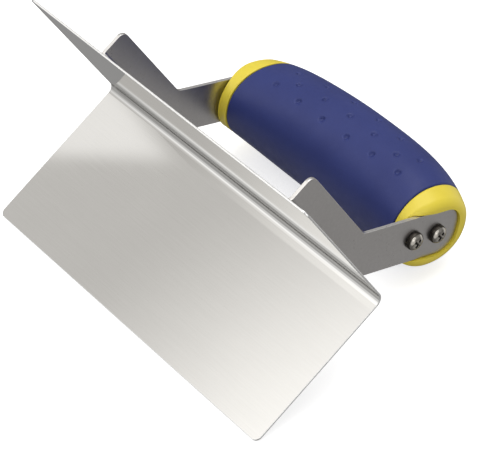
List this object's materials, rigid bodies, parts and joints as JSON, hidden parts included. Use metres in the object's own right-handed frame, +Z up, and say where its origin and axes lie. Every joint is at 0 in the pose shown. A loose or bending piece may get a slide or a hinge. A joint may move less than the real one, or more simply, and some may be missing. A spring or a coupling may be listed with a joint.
{
  "type": "outside corner trowel",
  "caption": "Right-angled bent sheet blade with brackets at both ends holding a two-material moulded grip over the ridge, for forming and smoothing plaster corners.",
  "frame": {"origin": "centre of the bounding box at its base, with the tool lying on one wing's free edge and on the grip", "axes": "+X along the blade's ridge and the grip, +Y from the blade towards the grip, +Z up"},
  "size_m": [0.152, 0.1232, 0.0872],
  "materials": {
    "blade_steel": "satin stainless sheet with a fine grain",
    "bracket_steel": "satin pressed steel with bright cut edges",
    "yellow_plastic": "semi-matte moulded yellow plastic",
    "blue_rubber": "matte dark blue soft-touch rubber with small dimples",
    "screw_steel": "bright plated screw"
  },
  "bodies": {
    "root": {"blade": "blade_steel", "bracket_right": "bracket_steel", "bracket_left": "bracket_steel", "grip_core": "yellow_plastic", "grip_sleeve": "blue_rubber", "screw_right_inner": "screw_steel", "screw_right_outer": "screw_steel", "screw_left_inner": "screw_steel", "screw_left_outer": "screw_steel"}
  },
  "joints": []
}
